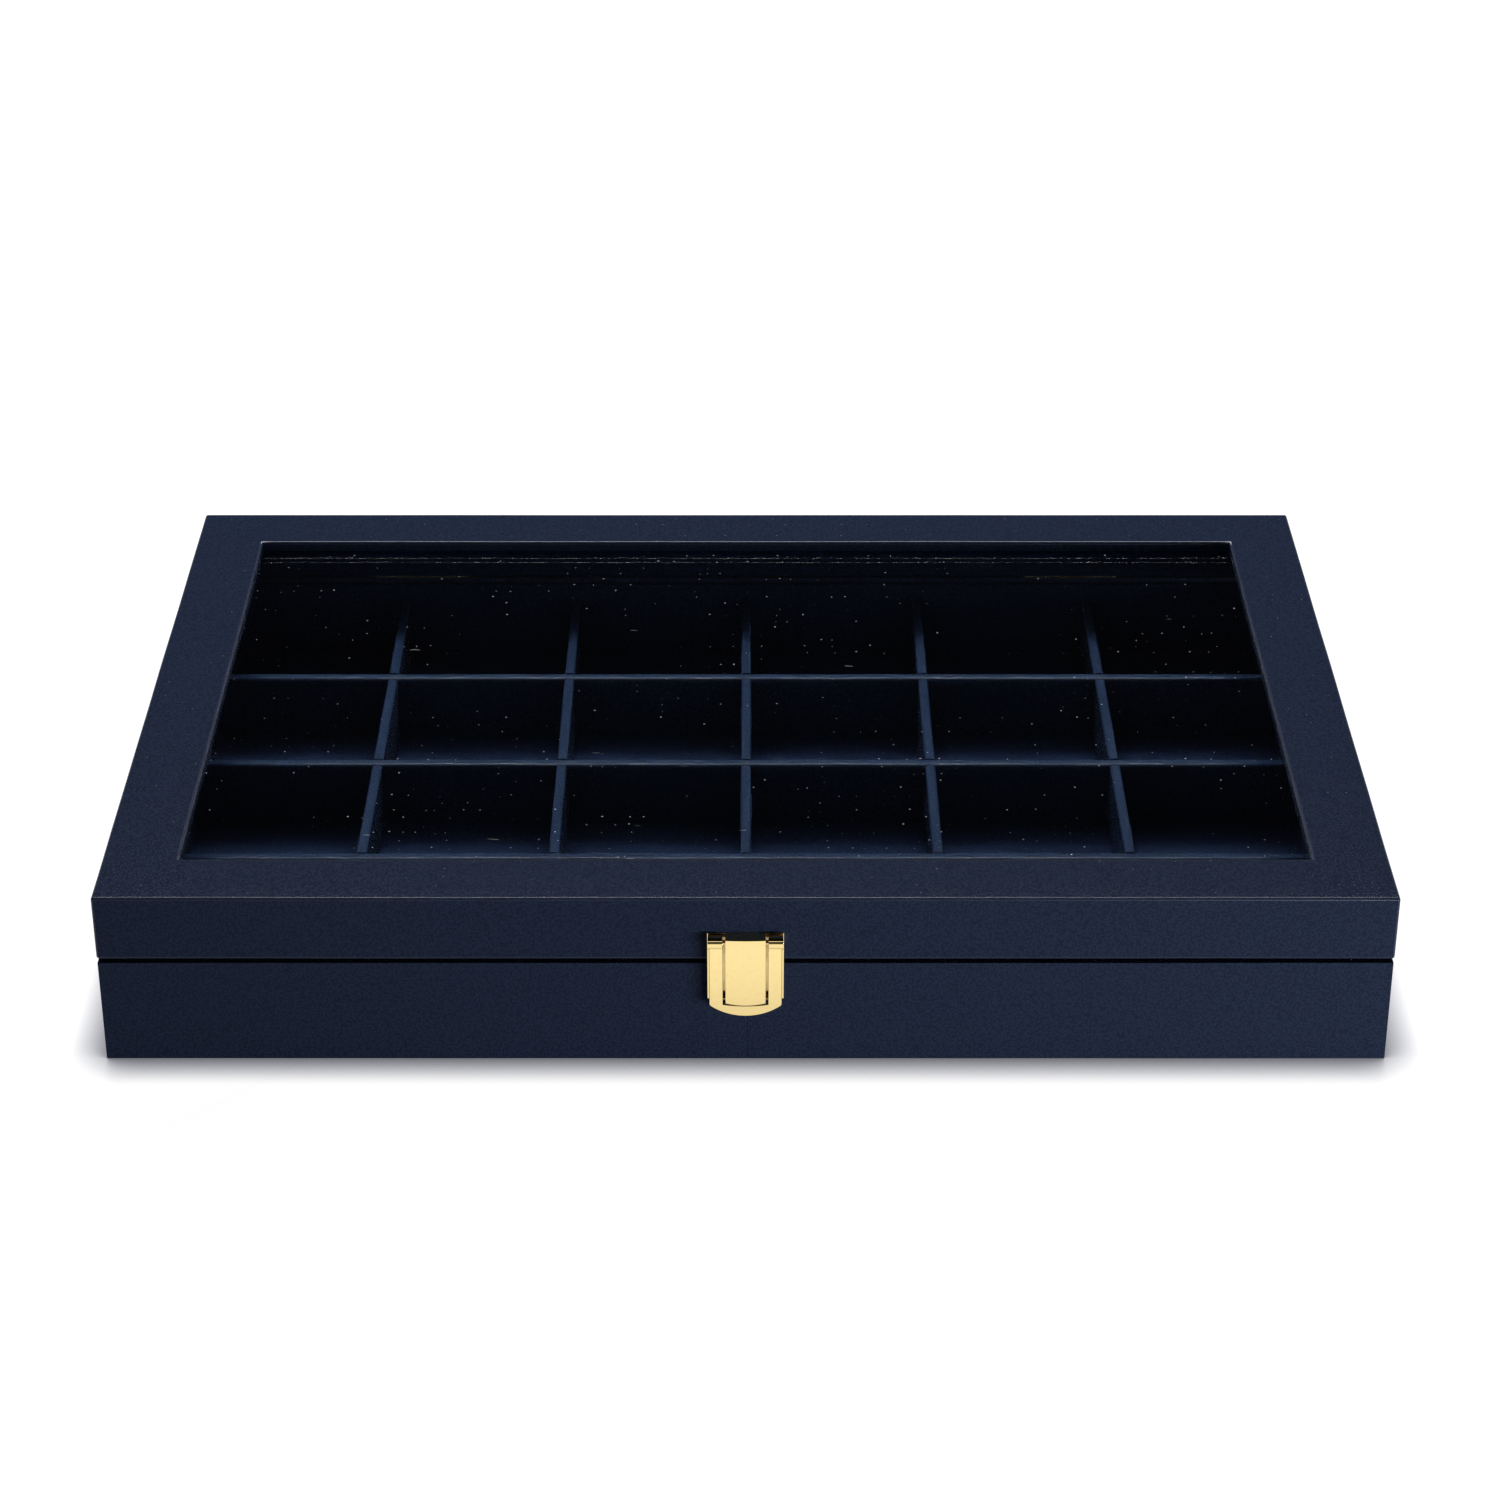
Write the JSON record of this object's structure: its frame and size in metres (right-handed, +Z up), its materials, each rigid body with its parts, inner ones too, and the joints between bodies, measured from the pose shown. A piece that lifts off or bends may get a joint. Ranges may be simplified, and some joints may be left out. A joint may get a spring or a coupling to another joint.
{
  "type": "compartmented display box",
  "caption": "Shallow leatherette-covered display box with a glass-topped hinged lid, a grid of covered dividers and a gilt flap latch.",
  "frame": {"origin": "centre of the underside, on the face the box stands on", "axes": "+X to the right along the width, +Y to the back, where the hinges are, +Z up; the latch faces -Y"},
  "size_m": [0.35, 0.2495, 0.0512],
  "materials": {
    "leatherette": "fine pebble grain, satin navy",
    "divider_cover": "fine pebble grain, satin navy",
    "lining": "matt dark navy",
    "fibreboard": "bare fibreboard",
    "felt": "short black felt",
    "glass": "clear float glass",
    "gilt": "polished pale gilt plating"
  },
  "bodies": {
    "base": {"base_wrap": "leatherette", "base_front_board": "fibreboard", "base_back_board": "fibreboard", "base_left_board": "fibreboard", "base_right_board": "fibreboard", "base_bottom_board": "fibreboard", "underside_felt": "felt", "floor_pad": "lining", "base_front_lining": "lining", "base_back_lining": "lining", "base_left_lining": "lining", "base_right_lining": "lining", "front_long_divider": "divider_cover", "middle_long_divider": "divider_cover", "back_long_divider": "divider_cover", "short_divider_1": "divider_cover", "short_divider_2": "divider_cover", "short_divider_3": "divider_cover", "short_divider_4": "divider_cover", "short_divider_5": "divider_cover", "left_hinge_base_leaf": "gilt", "right_hinge_base_leaf": "gilt", "left_hinge_pin": "gilt", "right_hinge_pin": "gilt", "base_hinge_screws": "gilt", "latch_keeper": "gilt", "keeper_nails": "gilt"},
    "lid": {"lid_wrap": "leatherette", "lid_front_board": "fibreboard", "lid_back_board": "fibreboard", "lid_left_board": "fibreboard", "lid_right_board": "fibreboard", "lid_front_rail": "fibreboard", "lid_back_rail": "fibreboard", "lid_left_rail": "fibreboard", "lid_right_rail": "fibreboard", "glass_pane": "glass", "lid_front_lining": "lining", "lid_back_lining": "lining", "lid_left_lining": "lining", "lid_right_lining": "lining", "left_hinge_lid_leaf": "gilt", "right_hinge_lid_leaf": "gilt", "lid_hinge_screws": "gilt", "latch_plate": "gilt", "latch_pin": "gilt", "latch_plate_nails": "gilt"},
    "latch_flap": {"latch_flap": "gilt"}
  },
  "joints": [
    {"name": "lid_hinge", "type": "hinge", "parent": "base", "child": "lid", "pos_m": [0, 0.1222, 0.03143], "axis": [-1, 0, 0], "range_deg": [0, 100]},
    {"name": "latch_flap_pivot", "type": "hinge", "parent": "lid", "child": "latch_flap", "pos_m": [0, -0.12255, 0.039], "axis": [-1, 0, 0], "range_deg": [0, 95]}
  ]
}
